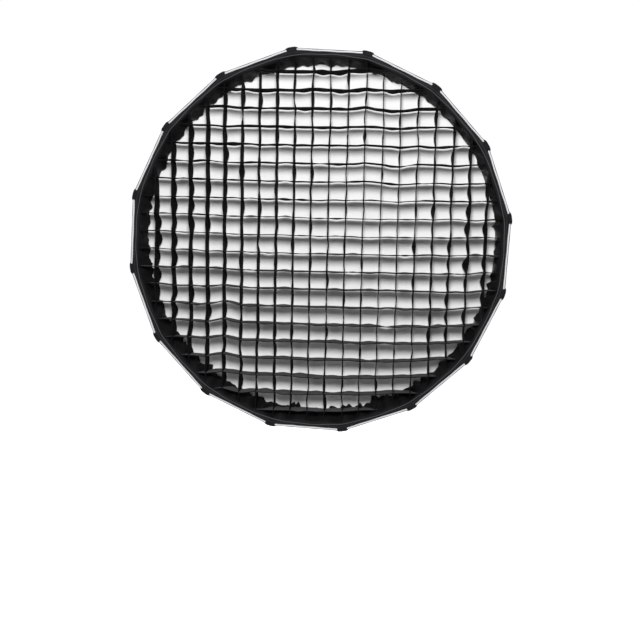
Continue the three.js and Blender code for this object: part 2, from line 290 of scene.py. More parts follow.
def tube(path, radius, sides):
    """(points, faces) of a round bar along a path, with closed ends."""
    path = np.asarray(path, float)
    radius = np.broadcast_to(radius, len(path))
    heading = np.gradient(path, axis=0)
    heading /= np.linalg.norm(heading, axis=1, keepdims=True)
    aside = (0.31, 0.87, 0.39)      # any direction that no path starts along
    side = np.cross(heading[0], aside)
    rings = []
    for p, t, r in zip(path, heading, radius):
        side = side - t * (side @ t)
        side /= np.linalg.norm(side)
        other = np.cross(t, side)
        turn = np.arange(sides) * 2 * math.pi / sides
        rings.append(p + r * (np.cos(turn)[:, None] * side + np.sin(turn)[:, None] * other))
    faces = grid_faces(len(path), sides, wrap=True).tolist()
    return np.concatenate(rings), faces + end_caps(len(path), sides)


def joined(parts):
    """One list of points and faces from several (points, faces)."""
    points, faces, start = [], [], 0
    for p, f in parts:
        p = np.asarray(p, float).reshape(-1, 3)
        points.append(p)
        faces += [[i + start for i in face] for face in f]
        start += len(p)
    return np.concatenate(points), faces


def block(low, high, azimuth):
    """(points, faces) of a box in a rib's own frame, from low to high (radius, depth, side)."""
    corners = itertools.product(*zip(low, high))
    points = np.array([rib_point(*c, azimuth) for c in corners])
    faces = [[0, 1, 3, 2], [4, 6, 7, 5], [0, 4, 5, 1], [2, 3, 7, 6], [0, 2, 6, 4], [1, 5, 7, 3]]
    return points, faces


def stand_for(piece, body, cad):
    """Makes a piece ride a body and stand for one CAD node, whose own part is hidden."""
    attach(piece, body)
    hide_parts(cad)


def mix(first, last, share):
    """Between first at share 0 and last at share 1."""
    return first * (1 - share) + last * share


# ---------------------------------------------------------------- materials


def material(name, color, roughness, metallic=0.0, **sockets):
    """A plain material. More sockets are given by name, with _ for each space."""
    made = bpy.data.materials.new(name)
    made.use_nodes = True
    shader = made.node_tree.nodes["Principled BSDF"]
    shader.inputs["Base Color"].default_value = (*color, 1)
    shader.inputs["Roughness"].default_value = roughness
    shader.inputs["Metallic"].default_value = metallic
    for socket, value in sockets.items():
        shader.inputs[socket.replace("_", " ")].default_value = value
    return made


def node(tree, kind, **values):
    """Adds a node. Each value goes to the input of that name, or else to the setting."""
    made = tree.nodes.new(kind)
    for key, value in values.items():
        if key in made.inputs:
            made.inputs[key].default_value = value
        else:
            setattr(made, key, value)
    return made


def math_node(tree, operation, *values):
    """The result of an operation on numbers or other nodes' outputs."""
    made = node(tree, "ShaderNodeMath", operation=operation)
    for n, value in enumerate(values):
        if isinstance(value, (int, float)):
            made.inputs[n].default_value = value
        else:
            tree.links.new(value, made.inputs[n])
    return made.outputs[0]


def coordinates(tree, output):
    return node(tree, "ShaderNodeTexCoord").outputs[output]


def noise(tree, vector, scale, detail=3.0):
    made = node(tree, "ShaderNodeTexNoise", Scale=scale, Detail=detail)
    tree.links.new(vector, made.inputs["Vector"])
    return made.outputs["Fac"]


def colour_mix(tree, factor):
    """A mix of two colours: its two colour inputs and its colour output."""
    mixer = node(tree, "ShaderNodeMix", data_type="RGBA")
    tree.links.new(factor, mixer.inputs["Factor"])
    first, last = [i for i in mixer.inputs if i.type == "RGBA"]
    return first, last, [o for o in mixer.outputs if o.type == "RGBA"][0]


def weave(tree, pitch):
    """The height of a plain weave of that pitch, on the cloth's own coordinates."""
    uv = coordinates(tree, "UV")
    waves = []
    scale = math.pi / 10 / pitch    # at scale 1 a wave texture's bands are pi / 10 apart
    for direction in ("X", "Y"):
        wave = node(tree, "ShaderNodeTexWave", bands_direction=direction, Scale=scale)
        tree.links.new(uv, wave.inputs["Vector"])
        waves.append(wave.outputs["Fac"])
    return math_node(tree, "MULTIPLY", *waves)


def stitches(tree, along, lines):
    """A mask of dashed lines of thread that run along one cloth axis, at places on the other."""
    pitch, sewn_share, half_width = 3.5 * MM, 0.68, 0.45 * MM
    split = node(tree, "ShaderNodeSeparateXYZ")
    tree.links.new(coordinates(tree, "UV"), split.inputs[0])
    run, side = split.outputs[along], split.outputs["Y" if along == "X" else "X"]
    beat = math_node(tree, "FRACT", math_node(tree, "DIVIDE", run, pitch))
    dash = math_node(tree, "LESS_THAN", beat, sewn_share)
    total = None
    for line in lines:
        here = math_node(tree, "COMPARE", side, line, half_width)
        total = here if total is None else math_node(tree, "MAXIMUM", total, here)
    return math_node(tree, "MULTIPLY", dash, total)


def sew(made, along, lines, thread):
    """Adds visible stitching to a cloth: the thread's colour, and how it stands up."""
    tree = made.node_tree
    shader = tree.nodes["Principled BSDF"]
    mask = stitches(tree, along, lines)
    bare, sewn, colour = colour_mix(tree, mask)
    sewn.default_value = (*thread, 1)
    tree.links.new(shader.inputs["Base Color"].links[0].from_socket, bare)
    tree.links.new(colour, shader.inputs["Base Color"])
    bump = node(tree, "ShaderNodeBump", Strength=0.8, Distance=0.4 * MM)
    tree.links.new(shader.inputs["Normal"].links[0].from_socket, bump.inputs["Normal"])
    tree.links.new(mask, bump.inputs["Height"])
    tree.links.new(bump.outputs["Normal"], shader.inputs["Normal"])


def add_bump(made, heights):
    """Chained bumps on a material, each (height socket, strength, distance in metres)."""
    tree = made.node_tree
    shader = tree.nodes["Principled BSDF"]
    last = None
    for height, strength, distance in heights:
        bump = node(tree, "ShaderNodeBump", Strength=strength, Distance=distance)
        tree.links.new(height, bump.inputs["Height"])
        if last is not None:
            tree.links.new(last, bump.inputs["Normal"])
        last = bump.outputs["Normal"]
    tree.links.new(last, shader.inputs["Normal"])


def vary(made, socket, factor, low, high):
    """Ramps a noise into a roughness, or into a colour between two colours."""
    tree = made.node_tree
    target = tree.nodes["Principled BSDF"].inputs[socket]
    if isinstance(low, tuple):
        first, last, colour = colour_mix(tree, factor)
        first.default_value = (*low, 1)
        last.default_value = (*high, 1)
        tree.links.new(colour, target)
    else:
        # A noise stays between these two nearly everywhere.
        usual = {"From Min": 0.3, "From Max": 0.7}
        ramp = node(tree, "ShaderNodeMapRange", **usual, **{"To Min": low, "To Max": high})
        tree.links.new(factor, ramp.inputs["Value"])
        tree.links.new(ramp.outputs["Result"], target)


def cloth(name, dark, light, roughness, pitch, wrinkle, per_metre=85.0, **sockets):
    """A woven fabric: thread relief, faint creases and a slow change of shade. Pitch is the weave's,
    wrinkle is the creases' height, and both are in metres."""
    made = material(name, dark, roughness, **{"Specular_IOR_Level": 0.15, **sockets})
    tree = made.node_tree
    place = coordinates(tree, "Object")
    vary(made, "Base Color", noise(tree, place, scale=9.0), dark, light)
    vary(made, "Roughness", noise(tree, place, scale=31.0), roughness - 0.08, roughness + 0.08)
    creases = noise(tree, place, per_metre, detail=4.0)
    thread_relief = 0.25 * pitch
    add_bump(made, [(creases, 0.3, wrinkle), (weave(tree, pitch), 0.35, thread_relief)])
    return made


def metal(name, color, roughness, grain, metallic=1.0):
    """A metal, or a plastic at metallic 0, with uneven polish and a fine grain."""
    made = material(name, color, roughness, metallic)
    tree = made.node_tree
    place = coordinates(tree, "Object")
    vary(made, "Roughness", noise(tree, place, scale=60.0), roughness - 0.07, roughness + 0.1)
    grain_depth = 0.1 * MM
    add_bump(made, [(noise(tree, place, grain, detail=6.0), 0.15, grain_depth)])
    return made


def make_materials():
    """Every finish on the box. A cloth's shade wanders between its two colours."""
    nylon = dict(dark=(0.006, 0.006, 0.007), light=(0.011, 0.011, 0.012), roughness=0.5,
                 pitch=0.7 * MM, wrinkle=1.2 * MM, Sheen_Weight=0.02, Sheen_Roughness=0.4)
    mat = {
        "nylon": cloth("black_nylon", **nylon),
        "collar": cloth("collar_nylon", **nylon),
        "silver": cloth("silver_lining", (0.62, 0.62, 0.63), (0.75, 0.75, 0.76), roughness=0.34,
                        pitch=0.9 * MM, wrinkle=1.6 * MM, metallic=0.85),
        "hem": cloth("silver_hem", (0.26, 0.264, 0.27), (0.34, 0.345, 0.35), roughness=0.55,
                     pitch=1.1 * MM, wrinkle=0.4 * MM),
        "tape": cloth("seam_tape", (0.007, 0.007, 0.008), (0.012, 0.012, 0.013), roughness=0.7,
                      pitch=1.3 * MM, wrinkle=0.5 * MM),
        "pocket": cloth("pocket_fabric", (0.002, 0.002, 0.0025), (0.004, 0.004, 0.0045), roughness=0.7,
                        pitch=1.2 * MM, wrinkle=0.8 * MM, Specular_IOR_Level=0.06),
        "grid": cloth("grid_fabric", (0.0012, 0.0012, 0.0014), (0.004, 0.004, 0.0042), roughness=0.75,
                      pitch=0.8 * MM, wrinkle=0.8 * MM, Specular_IOR_Level=0.02),
        # Painted light: a lighter grey for the upward sides of the strips that run across, standing in for
        # the light that falls on them from above.
        "grid_painted_lit_top": cloth("grid_fabric_painted_lit_top", (0.036, 0.036, 0.038), (0.052, 0.052, 0.054),
                          roughness=0.85, pitch=0.8 * MM, wrinkle=0.8 * MM, Specular_IOR_Level=0.05),
        "border": cloth("border_fabric", (0.001, 0.001, 0.0012), (0.006, 0.006, 0.0062), roughness=0.5,
                        pitch=0.8 * MM, wrinkle=8 * MM, per_metre=26.0, Specular_IOR_Level=0.06),
        "piping": cloth("piping", (0.022, 0.022, 0.023), (0.034, 0.034, 0.035), roughness=0.6,
                        pitch=0.9 * MM, wrinkle=0.3 * MM),
        "diffuser": cloth("diffusion_cloth", (0.50, 0.50, 0.50), (0.54, 0.54, 0.54), roughness=0.8,
                          pitch=0.6 * MM, wrinkle=0.6 * MM),
        "anodised": metal("black_anodised", (0.018, 0.018, 0.020), roughness=0.38, grain=900.0,
                          metallic=0.6),
        "steel": metal("spring_steel", (0.26, 0.26, 0.28), roughness=0.36, grain=700.0),
        "plastic": metal("black_plastic", (0.013, 0.013, 0.014), roughness=0.5, grain=500.0,
                         metallic=0.0),
    }
    # Stitching. Each: the way the thread runs, its rows' places across it, and its colour.
    sew(mat["tape"], "Y", (3 * MM, 5 * MM, 27 * MM, 29 * MM), (0.03, 0.03, 0.032))
    sew(mat["collar"], "X", (5 * MM, 7 * MM, 60 * MM, 63 * MM), (0.05, 0.05, 0.052))
    sew(mat["pocket"], "X", (7 * MM, 9 * MM, 29 * MM, 31 * MM), (0.02, 0.02, 0.021))
    sew(mat["hem"], "X", (3.2 * MM,), (0.12, 0.12, 0.12))
    length = run_length(skin_line(gore_shares(), SKIN_OFFSET))
    sew(mat["nylon"], "X", (length - 14 * MM, length - 30 * MM), (0.025, 0.025, 0.027))
    return mat


# ---------------------------------------------------------------- the rib's curve


def rib_curve(share):
    """(radius, depth) and heading along the rib's parabola, for an array of shares."""
    leave = np.array([math.sin(START_ANGLE), math.cos(START_ANGLE)])
    arrive = np.array([math.sin(END_ANGLE), math.cos(END_ANGLE)])
    span = TIP - HINGE
    reach = (span[0] * arrive[1] - span[1] * arrive[0]) / (leave[0] * arrive[1] - leave[1] * arrive[0])
    bend = HINGE + leave * reach
    t = np.asarray(share, float)[..., None]
    place = (1 - t) ** 2 * HINGE + 2 * t * (1 - t) * bend + t ** 2 * TIP
    heading = 2 * (1 - t) * (bend - HINGE) + 2 * t * (TIP - bend)
    return place, heading / np.linalg.norm(heading, axis=-1, keepdims=True)


def skin_line(shares, offset):
    """(radius, depth) of a line outside the rib, for shares up to 1 and on to the rim past 1."""
    place, heading = rib_curve(np.minimum(shares, 1))
    outward = np.stack([heading[:, 1], -heading[:, 0]], -1)
    line = place + offset * outward
    past = shares > 1
    if past.any():
        stop = np.array([RIM_RADIUS, RIM_DEPTH])
        first = line[~past][-1]
        t = (shares[past] - 1) / (shares.max() - 1)
        line[past] = first + (stop - first) * t[:, None]
    return line


# ---------------------------------------------------------------- soft parts


def wrinkles(u, v, seed, count=7):
    """A smooth sum of slanted waves over a panel, about 1 high, that changes with seed."""
    rng = np.random.default_rng(seed)
    total = np.zeros(np.broadcast(u, v).shape)
    for _ in range(count):
        angle, phase = rng.uniform(0, math.pi), rng.uniform(0, 2 * math.pi)
        waves = rng.uniform(2, 7)
        total = total + np.sin(waves * (u * math.cos(angle) + v * math.sin(angle)) * math.pi + phase)
    return total / math.sqrt(count)


def gore_shares():
    """Where a gore's rows lie along the rib, and the last few from its tip to the rim."""
    past_tip = 6
    along_rib = np.linspace(SHELL_START, 1, GORE_ROWS - past_tip)
    beyond_tip = 1 + np.linspace(0.2, 1, past_tip) / 40
    return np.concatenate([along_rib, beyond_tip])


def gore_lift(n, u, v):
    """How far a gore's points lie off its flat panel, for u from -1 to 1 across the gore and v from
    0 at the hub to 1 at the rim."""
    to_seam, to_rim = 1 - abs(u), 1 - v
    sag = -GORE_SAG * (1 - u ** 2) * np.sin(math.pi * np.clip(v * 1.02, 0, 1)) ** 0.7
    free = (1 - u ** 2) ** 0.5 * np.clip(to_rim * 12, 0, 1) * np.clip(v * 14, 0, 1)
    folds = GORE_FOLDS * wrinkles(u, v * 3, 11 + n)
    pull = HUB_PULL * np.sin(u * (9 + n % 3) + v * 5 + n) * np.exp(-v / 0.16)
    near_pocket = np.exp(-to_rim / 0.09 - to_seam / 0.35)
    drawn = POCKET_PULL * np.sin(to_seam * 14 + to_rim * 40) * near_pocket
    pucker = PUCKER * np.sin(v * 2 * math.pi * PUCKERS + n) * np.exp(-to_seam / 0.12)
    return sag + (folds + pull + drawn) * free + pucker * np.clip(to_rim * 20, 0, 1)


def gores(mat):
    """The sixteen panels of the shell, black outside and silver inside, with their white hems."""
    seam_gap = 0.15 * MM
    line = skin_line(gore_shares(), SKIN_OFFSET)
    u = np.linspace(-1, 1, GORE_COLUMNS)[None, :]
    v = np.linspace(0, 1, GORE_ROWS)[:, None]
    radius, depth = line[:, 0:1], line[:, 1:2]
    half = radius * math.sin(HALF_STEP) - seam_gap
    middle = radius * math.cos(HALF_STEP)
    slope = np.gradient(line, axis=0)
    slope /= np.linalg.norm(slope, axis=1, keepdims=True)
    out_r, out_d = slope[:, 1:2], -slope[:, 0:1]
    for n in range(RIBS):
        azimuth = (n + 1) * STEP
        lift = gore_lift(n, u, v)
        points = rib_point(middle + lift * out_r, depth + lift * out_d, u * half, azimuth)
        made = shell(points, SKIN)
        name = f"gore_{n + 1:02d}"
        panel = add_piece(f"{name}_panel", made[0], made[1], [mat["nylon"], mat["silver"]],
                          tags=made[3], uvs=made[2], sharp=60)
        soft_on_gore(panel, name)
        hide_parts(name)
        hem(mat, n, azimuth)


def soft_on_gore(piece, body):
    """Rides a gore's body, with a mesh of its own."""
    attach(piece, body)
    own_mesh(piece)


def hem(mat, n, azimuth):
    """The white band along one side of the rim, from pocket to pocket, with a row of stitches."""
    across = np.linspace(-1, 1, 41)[None, :]
    reach = RIM_RADIUS * math.sin(HALF_STEP) - HEM_GAP
    lip = np.array([(-0.4, -5), (0, -1), (1, 0.6), (2.4, 1), (2.5, 0.8), (3.2, 0)]) * MM
    profile = lip + (HEM_INNER, RIM_DEPTH)
    radius = profile[:, 0:1] * math.cos(HALF_STEP)
    wave = 0.35 * MM * np.sin(across * 9 + n)
    points = rib_point(radius + wave, profile[:, 1:2], across * reach, azimuth)
    made = shell(points[::-1], 0.9 * MM)
    band = add_piece(f"rim_hem_{n + 1:02d}", made[0], made[1], [mat["hem"]], uvs=made[2], sharp=60)
    soft_on_gore(band, f"gore_{n + 1:02d}")
    return band


def seam_tapes(mat):
    """A black tape over each seam, outside the rod, which turns with the rib."""
    half_width, thickness, air = 16 * MM, 0.8 * MM, 0.35 * MM
    shares = np.linspace(SHELL_START + 0.01, 0.985, 90)
    line = skin_line(shares, SKIN_OFFSET + SKIN / 2 + thickness / 2 + air)
    side = np.linspace(-1, 1, 11)[None, :]
    half = np.minimum(half_width, 0.9 * line[:, 0:1] * math.sin(HALF_STEP) * 2)
    step = side * half
    ridge = 2 * MM      # how round the tape is where it bends over the seam
    drop = (np.sqrt(step ** 2 + ridge ** 2) - ridge) * math.tan(HALF_STEP) * 1.02
    for n in range(RIBS):
        ripple = 0.25 * MM * np.sin(shares * 150 + n)[:, None] * side ** 2
        points = rib_point(line[:, 0:1] - drop + ripple, line[:, 1:2], step, HALF_STEP + n * STEP)
        made = shell(points, thickness)
        name = f"rib_{n + 1:02d}"
        tape = add_piece(f"{name}_seam_tape", made[0], made[1], [mat["tape"]], uvs=made[2], sharp=60)
        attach(tape, name)


def signed_power(x, exponent):
    """Squares off a sine or a cosine for exponents under 1."""
    return np.sign(x) * abs(x) ** exponent


def pockets(mat):
    """The reinforced caps at the corners of the rim: rounded blocks, no two quite the same size."""
    rows, columns = 26, 40
    polar = np.linspace(0.02, math.pi - 0.02, rows)[:, None]
    turn = np.linspace(0, 2 * math.pi, columns, endpoint=False)[None, :]
    x = signed_power(np.sin(polar), 0.5) * signed_power(np.cos(turn), 0.75)
    y = signed_power(np.sin(polar), 0.5) * signed_power(np.sin(turn), 0.75)
    z = signed_power(np.cos(polar), 0.5) * np.ones_like(turn)
    pinch = 1 - 0.10 * (1 - abs(y) ** 2) * (x > 0)
    faces = grid_faces(rows, columns, wrap=True).tolist() + end_caps(rows, columns)
    metres_per_radian = (8 * MM, 12 * MM)
    uv = np.stack(np.broadcast_arrays(turn * metres_per_radian[0], polar * metres_per_radian[1]), -1)
    for n in range(RIBS):
        size = POCKET_SIZE * np.random.default_rng(100 + n).uniform(0.96, 1.0, 3)
        along = z * size[1]
        lean = np.minimum(along * math.tan(END_ANGLE) * 0.25, 0)
        ripple = 0.4 * MM * np.sin(3 * turn + n) * np.sin(polar)
        points = rib_point(POCKET_CENTRE[0] + x * size[0] * pinch + lean, POCKET_CENTRE[1] + along,
                           y * size[2] + ripple, HALF_STEP + n * STEP)
        name = f"tip_pocket_{n + 1:02d}"
        cap = add_piece(f"{name}_cap", points, faces, [mat["pocket"]], uvs=uv.reshape(-1, 2), sharp=70)
        stand_for(cap, f"rib_{n + 1:02d}", name)


def polygon_radius(azimuth, corner):
    """The radius of a sixteen-sided outline with that corner radius, at an azimuth."""
    local = (azimuth % STEP) - STEP
    local = np.where(local < -HALF_STEP, local + STEP, local)
    return corner * math.cos(HALF_STEP) / np.cos(local)


def inside_reach(offset, corner):
    """How far a line at that offset from the axis runs before it leaves the outline."""
    reach = np.inf
    for k in range(RIBS):
        c, s = math.cos(k * STEP), math.sin(k * STEP)
        if c > 1e-6:    # only the sides that the line runs towards
            reach = min(reach, (corner * math.cos(HALF_STEP) - offset * s) / c)
    return reach


def lattice(across, up, droop):
    """Where a point of the flat grid hangs, as X and Z."""
    begin, full = TUG_ROWS
    lift = np.zeros(np.shape(across))
    for column, rise, half in TUGS:
        near = np.clip(1 - abs(across / GRID_PITCH[0] - column), 0, 1)
        lift = lift + rise * near * np.clip((half * up - begin) / (full - begin), 0, 1)
    outer = np.clip((np.hypot(across, up) - 0.3) / 0.1, 0, 1) ** 2
    low_right = np.clip(-up / 0.25, 0, 1) * np.clip(across / 0.15, 0, 1)
    sag = GRID_SAG * (1 - (across / 0.4) ** 2)
    up = up + lift + LIFTED_CORNER * outer * low_right - droop - sag
    c, s = math.cos(GRID_TWIST), math.sin(GRID_TWIST)
    return GRID_CENTRE[0] + c * across - s * up, GRID_CENTRE[1] + s * across + c * up


def slack_tables():
    """Each strip's place, each crossing's drift, each run's bow and how loose each crossing is.
    Drifts and bows are given for the front edges and then for the back edges."""
    rng = np.random.default_rng(5)
    count = GRID_COUNT
    index = np.arange(count) - (count - 1) / 2
    from_axis = np.hypot(index[:, None] * GRID_PITCH[0], index[None, :] * GRID_PITCH[1])
    loose = 0.4 + 1.0 * np.clip((from_axis - 0.22) / 0.18, 0, 1)
    own_drift, shared_drift = 0.5 * MM, 0.9 * MM
    drift = rng.normal(0, 1, (2, 2, count, count)) * own_drift * loose
    drift += rng.normal(0, 1, (2, 1, count, count)) * shared_drift * loose
    bows = rng.normal(0, 1, (2, 2, count, count + 1))
    bows[0] *= np.array([0.8, 1.3])[:, None, None] * MM
    bows[1] *= np.array([0.6, 0.9])[:, None, None] * MM
    inward = -np.sign(index) * np.clip((abs(index) - 3.5) / 6, 0, 1)
    bows[0, 1] += inward[:, None] * rng.uniform(1.0, 5.0, (count, count + 1)) * MM
    bows[1, 1] += inward[:, None] * rng.uniform(0.0, 1.6, (count, count + 1)) * MM
    return index, drift, bows, loose


def grid_strip(way, n, tables):
    """One strip of the grid as rows of points, from its front edge to its back edge.
    Way 0 runs up at a fixed place across, and way 1 runs across at a fixed height."""
    index, drift, bows, loose = tables
    steps = 6           # from one crossing to the next
    tuck = 9 * MM       # how far past the wall's back edge the strips' back edges reach
    sewn_in = 1 * MM    # how far the ends of the strips run into the wall
    place = index[n] * GRID_PITCH[way]
    along = index * GRID_PITCH[1 - way]
    keep = np.flatnonzero(abs(along) < inside_reach(abs(place), WALL_BACK - 2 * MM))
    t = np.arange(steps) / steps
    ease = t * t * (3 - 2 * t)
    rows = []
    for s in np.linspace(0, 1, 5):
        end = inside_reach(abs(place), mix(WALL_FRONT, WALL_BACK + tuck, s) + sewn_in)
        moved = mix(drift[:, 0], drift[:, 1], s)
        moved = moved[:, n] if way == 0 else moved[:, :, n]
        across_nodes = np.concatenate([[place], place + moved[way, keep], [place]])
        along_nodes = np.concatenate([[-end], along[keep] + moved[1 - way, keep], [end]])
        bow = mix(bows[way, 0, n], bows[way, 1, n], s) * loose[n].max()
        lateral, run = [], []
        for k in range(len(along_nodes) - 1):
            first = min(k + keep[0], GRID_COUNT)
            slack = bow[first] * np.sin(math.pi * t) ** 2
            lateral.append(across_nodes[k] + np.diff(across_nodes)[k] * ease + slack)
            run.append(along_nodes[k] + np.diff(along_nodes)[k] * t)
        lateral = np.append(np.concatenate(lateral), place)
        run = np.append(np.concatenate(run), end)
        droop = GRID_DROOP * s
        x, z = lattice(lateral, run, droop) if way == 0 else lattice(run, lateral, droop)
        rows.append(np.stack([x, np.full(len(x), -mix(*GRID_DEPTHS, s)), z], -1))
    return np.array(rows)


def grid(mat):
    """The egg-crate: crossing fabric strips, and the border wall that they are sewn to. The upward
    sides of the strips that run across are a lighter grey: painted light, as if lit from above."""
    tables = slack_tables()
    parts, uvs, tags = [], [], []
    for way in (0, 1):
        for n in range(GRID_COUNT):
            points = grid_strip(way, n, tables)
            if way == 0:
                points = points[::-1]
            made = shell(points, GRID_STRIP)
            parts.append((made[0], made[1].tolist()))
            uvs.append(made[2])
            # Tag 1 on the strips that run across takes the painted-light grey of their upward sides.
            tags.append(made[3] * way)
    points, faces = joined(parts)
    strips = add_piece("grid_strips", points, faces, [mat["grid"], mat["grid_painted_lit_top"]],
                       tags=np.concatenate(tags), uvs=np.concatenate(uvs), sharp=50)
    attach(strips, "grid")
    border(mat)


def border_flaps(azimuth):
    """How far the flaps of cloth poke in from the border's back edge, deepest at the bottom."""
    rng = np.random.default_rng(8)
    flaps = np.zeros(len(azimuth))
    for _ in range(FLAPS):
        place, spread, poke = rng.uniform(0, 2 * math.pi), rng.uniform(0.006, 0.03), rng.uniform(1, 6)
        off = (azimuth - place + math.pi) % (2 * math.pi) - math.pi
        flaps += poke * (1.15 - 0.85 * math.cos(place)) * MM * np.clip(1 - abs(off) / spread, 0, 1)
    return flaps


def border(mat):
    """The grid's border: a front hem, a line of piping and a creased wall that slopes in."""
    around = RIBS * 48
    azimuth = np.arange(around) * 2 * math.pi / around
    turn = azimuth[None, :]
    front, back = WALL_DEPTHS
    hem_line = [(HEM_INNER + 0.5 * MM, front - 2.5 * MM), (HEM_INNER - 0.5 * MM, front + 0.6 * MM),
                (HEM_INNER - 3 * MM, front + 1.6 * MM), (BORDER_LINE, front + 1.4 * MM),
                (WALL_FRONT + 0.4 * MM, front + 0.2 * MM)]
    t = np.linspace(0, 1, 13)[1:]
    wall = np.stack([mix(WALL_FRONT, WALL_BACK, t), mix(front, back, t)], -1)
    profile = np.concatenate([hem_line, wall])
    share = np.concatenate([np.zeros(len(hem_line)), t])[:, None]
    creases = sum(high * np.sin(count * turn + start + slant * share)
                  for high, count, start, slant in CREASES)
    # The back edge hangs in at the bottom, and the cloth between its stitches swells most there.
    hang = (2 * np.sin(turn) + 5 * np.cos(turn) - 2.5 * np.cos(2 * turn)) * MM
    bulge = (3 - 1.5 * np.cos(turn)) * MM * np.sin(math.pi * share)
    puffs = bulge * np.sin(turn * 61 + 2 * np.sin(turn * 7))
    radius = profile[:, 0:1] * mix(polygon_radius(turn, 1.0), 1, share) + share * hang
    radius = radius + share ** 1.3 * CREASE * creases - share ** 1.8 * border_flaps(azimuth) + puffs
    depth = profile[:, 1:2] + share ** 1.5 * CREASE / 2 * creases
    points = np.stack([radius * np.sin(turn), -depth + 0 * turn, radius * np.cos(turn)], -1)
    made = shell(points, 1.0 * MM, wrap=True)
    tags = np.zeros(len(made[1]), int)
    quads = (len(profile) - 1) * around
    front_strip = np.arange(quads) // around < len(hem_line)
    tags[:2 * quads] = np.where(np.concatenate([front_strip, front_strip]), 1, 0)
    piece = add_piece("grid_border", made[0], made[1], [mat["border"], mat["pocket"]],
                      tags=tags, uvs=made[2], sharp=60)
    stand_for(piece, "grid", "grid")
    piping(mat, azimuth, front)


def piping(mat, azimuth, front):
    """The bead sewn round the front of the border, rounder than the rim itself."""
    circle, corner, circle_share, wobble = 430.5 * MM, 438.9 * MM, 0.75, 0.5 * MM
    line = mix(polygon_radius(azimuth, corner), circle, circle_share) + wobble * np.sin(37 * azimuth)
    along = np.full(len(line), -front - 2 * MM)
    path = np.stack([line * np.sin(azimuth), along, line * np.cos(azimuth)], -1)
    bead = add_piece("grid_piping", *ring_tube(path, 0.8 * MM), [mat["piping"]])
    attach(bead, "grid")
    return bead


def ring_tube(path, radius, sides=8):
    """(points, faces) of a round bar along a closed path that runs round the Y axis."""
    heading = np.roll(path, -1, 0) - np.roll(path, 1, 0)
    heading /= np.linalg.norm(heading, axis=1, keepdims=True)
    forward = np.array([0, 1.0, 0])
    outward = np.cross(heading, forward)
    turn = (np.arange(sides) * 2 * math.pi / sides)[None, :, None]
    rings = path[:, None] + radius * (np.cos(turn) * forward + np.sin(turn) * outward[:, None])
    closed = grid_faces(len(path) + 1, sides, wrap=True) % (len(path) * sides)
    return rings.reshape(-1, 3), closed.tolist()


def diffuser(mat):
    """The white cloth behind the grid, held flat at its hem, with soft slack folds."""
    rings, around = 44, RIBS * 16
    azimuth = np.arange(around)[None, :] * 2 * math.pi / around
    share = np.linspace(0.0003, 1, rings)[:, None]
    flat = math.cos(HALF_STEP)
    towards_rib = (polygon_radius(azimuth, 1.0) - flat) / (1 - flat)
    radius = mix(*DIFFUSER_RADII, towards_rib) * share
    x, z = radius * np.sin(azimuth), radius * np.cos(azimuth)
    folds = 0.6 * MM * wrinkles(x * 6, z * 6, 3, 9) * np.clip((1 - share) * 6, 0, 1)
    sag = 1.5 * MM * (1 - share ** 2)
    points = np.stack([x, -DIFFUSER_DEPTH + sag + folds, z], -1)
    made = shell(points, 0.7 * MM, wrap=True)
    sheet = add_piece("diffuser_cloth", made[0], made[1], [mat["diffuser"]], uvs=made[0][:, [0, 2]],
                      sharp=60)
    stand_for(sheet, "front_diffuser", "front_diffuser")


def rear_collar(mat):
    """The fabric skirt between the speedring and the shell."""
    shares = np.linspace(0.015, 0.13, 16)
    line = skin_line(shares, SKIN_OFFSET + 2.2 * MM)
    around = RIBS * 14
    azimuth = np.arange(around)[None, :] * 2 * math.pi / around
    pleat = 0.5 * MM * np.sin(azimuth * 48) * np.linspace(0.2, 1, len(shares))[:, None]
    pleat = pleat + 0.3 * MM * np.sin(azimuth * 31 + 1.0)
    radius = polygon_radius(azimuth, 1.0) * line[:, 0:1] + pleat
    points = np.stack([radius * np.sin(azimuth), -line[:, 1:2] + 0.6 * pleat, radius * np.cos(azimuth)], -1)
    made = shell(points, 1.1 * MM, wrap=True)
    skirt = add_piece("rear_collar_skirt", made[0], made[1], [mat["collar"]], uvs=made[2], sharp=60)
    stand_for(skirt, "turning_ring", "rear_collar")
    collar_binding(mat, points[-1])


def collar_binding(mat, edge):
    """The bound outer edge of the rear collar."""
    bead_radius, outside = 1.3 * MM, 0.9 * MM
    path = edge * (1 + outside / np.linalg.norm(edge, axis=1, keepdims=True))
    bead = add_piece("rear_collar_binding", *ring_tube(path, bead_radius), [mat["piping"]])
    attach(bead, "turning_ring")
    return bead


# ---------------------------------------------------------------- frame and hub


def ribs(mat):
    """The sixteen spring rods, each with the eye that turns on the hinge wire."""
    path, _ = rib_curve(np.linspace(0.006, 1, 48))
    for n in range(RIBS):
        azimuth = HALF_STEP + n * STEP
        rod = tube(rib_point(path[:, 0], path[:, 1], 0.0, azimuth), ROD, sides=14)
        points, faces = joined([rod, knuckle_eye(azimuth)])
        name = f"rib_{n + 1:02d}"
        piece = add_piece(f"{name}_rod", points, faces, [mat["steel"]], sharp=40)
        stand_for(piece, name, name)


def knuckle_eye(azimuth):
    """(points, faces) of the eye at a rib's hub end, a short tube round the hinge wire."""
    sides = 20
    turn = np.arange(sides) * 2 * math.pi / sides
    rings = []
    for radius, side in ((1.7, -4), (3.5, -4), (3.9, -3.5), (3.9, 3.5), (3.5, 4), (1.7, 4)):
        rings.append(rib_point(HINGE[0] + radius * MM * np.cos(turn), HINGE[1] + radius * MM * np.sin(turn),
                               side * MM, azimuth))
    closed = grid_faces(len(rings) + 1, sides, wrap=True) % (len(rings) * sides)
    return np.concatenate(rings), closed[:, ::-1].tolist()


